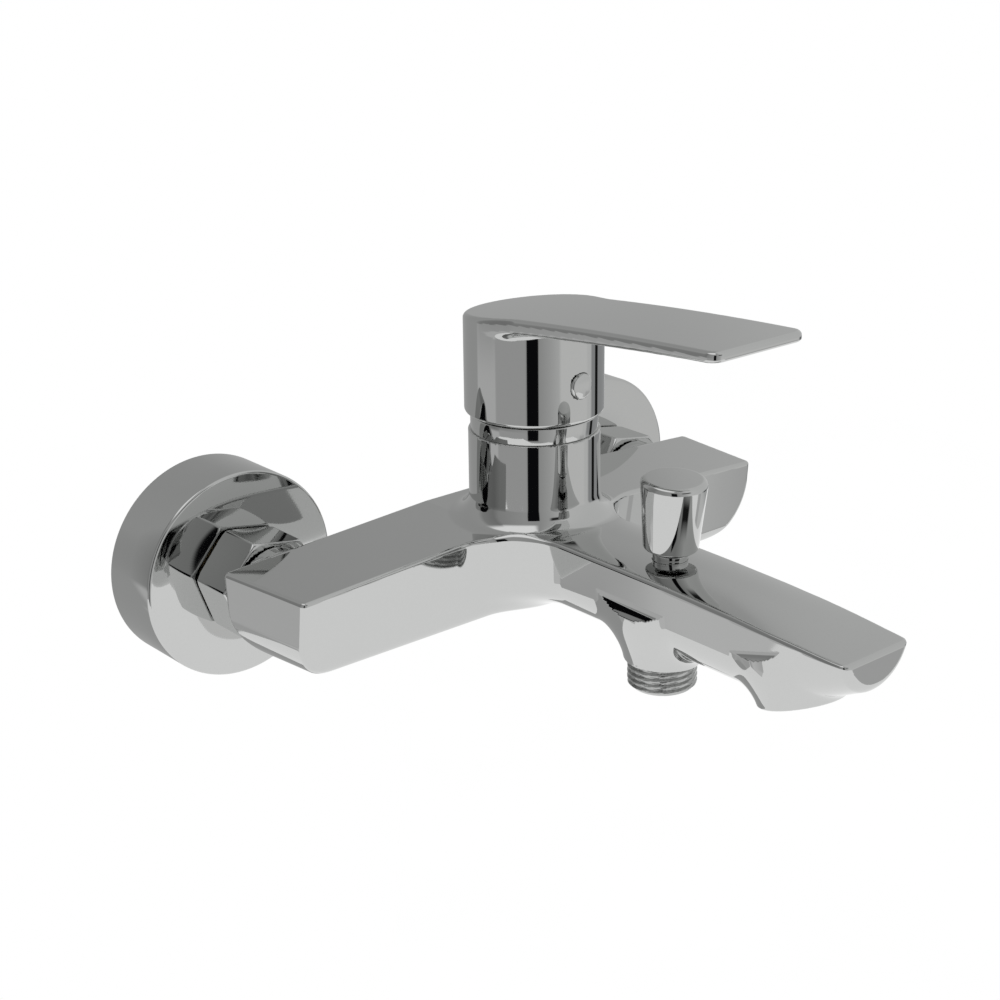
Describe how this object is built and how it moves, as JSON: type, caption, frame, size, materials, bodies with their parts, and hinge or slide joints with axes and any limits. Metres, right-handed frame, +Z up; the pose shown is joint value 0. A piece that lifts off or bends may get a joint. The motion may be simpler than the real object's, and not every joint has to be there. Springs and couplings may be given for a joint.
{
  "type": "wall mounted bath faucet",
  "caption": "Wall mounted single-lever bath and shower faucet with S-unions, cover flanges, pull-up diverter, threaded shower outlet and aerated spout.",
  "frame": {"origin": "on the finished wall, midway between the axes of the two supply pipes", "axes": "+Z up, +Y into the wall, +X to the right of someone who faces the wall; the spout reaches towards -Y"},
  "size_m": [0.216, 0.227, 0.1242],
  "materials": {
    "chrome_casting": "polished chrome plate on a brass casting",
    "chrome_trim": "polished chrome plate on drawn sheet",
    "chrome_nut": "polished chrome plate on turned brass",
    "chrome_handle": "polished chrome plate on zinc",
    "plated_thread": "satin chrome plate on a cut thread",
    "raw_brass": "turned, uncoated",
    "fibre_washer": "matt",
    "black_rubber": "matt",
    "stainless": "turned",
    "ivory_plastic": "moulded",
    "orange_plastic": "moulded",
    "ceramic": "lapped",
    "blue_plastic": "moulded",
    "grey_plastic": "moulded"
  },
  "bodies": {
    "mixer_body": {"body": "chrome_casting", "left_escutcheon": "chrome_trim", "right_escutcheon": "chrome_trim", "left_s_union": "raw_brass", "right_s_union": "raw_brass", "left_washer": "fibre_washer", "right_washer": "fibre_washer", "left_filter": "stainless", "right_filter": "stainless", "left_inlet_tail": "raw_brass", "right_inlet_tail": "raw_brass", "cartridge_seals": "black_rubber", "cartridge_base": "ivory_plastic", "fixed_disc": "ceramic", "cartridge_housing": "ivory_plastic", "cartridge_nut": "raw_brass", "trim_ring": "chrome_trim", "diverter_gland": "chrome_handle", "gland_seal": "black_rubber", "diverter_spring": "stainless", "shower_nipple": "plated_thread", "check_valve": "blue_plastic", "aerator_housing": "grey_plastic", "aerator_insert": "grey_plastic", "aerator_seal": "black_rubber"},
    "left_nut": {"left_union_nut": "chrome_nut"},
    "right_nut": {"right_union_nut": "chrome_nut"},
    "carrier": {"cartridge_carrier": "orange_plastic", "pivot_pin": "stainless"},
    "disc_plate": {"moving_disc": "ceramic", "disc_driver": "orange_plastic"},
    "lever": {"lever_stem": "stainless", "handle": "chrome_handle", "handle_screw": "stainless", "handle_plug": "chrome_handle"},
    "diverter": {"diverter_knob": "chrome_handle", "diverter_stem": "stainless", "diverter_valve": "black_rubber"}
  },
  "joints": [
    {"name": "handle_turn", "type": "hinge", "parent": "mixer_body", "child": "carrier", "pos_m": [0, -0.0744, 0.046], "axis": [0, 0, 1], "range_deg": [-50, 50]},
    {"name": "handle_lift", "type": "hinge", "parent": "carrier", "child": "lever", "pos_m": [0, -0.0744, 0.046], "axis": [-1, 0, 0], "range_deg": [0, 25]},
    {"name": "disc_slide", "type": "slide", "parent": "carrier", "child": "disc_plate", "axis": [0, -1, 0], "range_m": [0, 0.0036]},
    {"name": "diverter_pull", "type": "slide", "parent": "mixer_body", "child": "diverter", "axis": [0, -0.0523, 0.9986], "range_m": [0, 0.008], "stiffness_N_per_m": 150, "springref_m": -0.008, "deforming": ["diverter_spring"]},
    {"name": "left_nut_spin", "type": "hinge", "parent": "mixer_body", "child": "left_nut", "pos_m": [-0.075, -0.031, 0.006], "axis": [0, 1, 0], "continuous": true},
    {"name": "right_nut_spin", "type": "hinge", "parent": "mixer_body", "child": "right_nut", "pos_m": [0.075, -0.031, 0.006], "axis": [0, 1, 0], "continuous": true}
  ],
  "couplings": [
    {"joint": "disc_slide", "follows": "handle_lift", "m_per_rad": 0.0078}
  ]
}
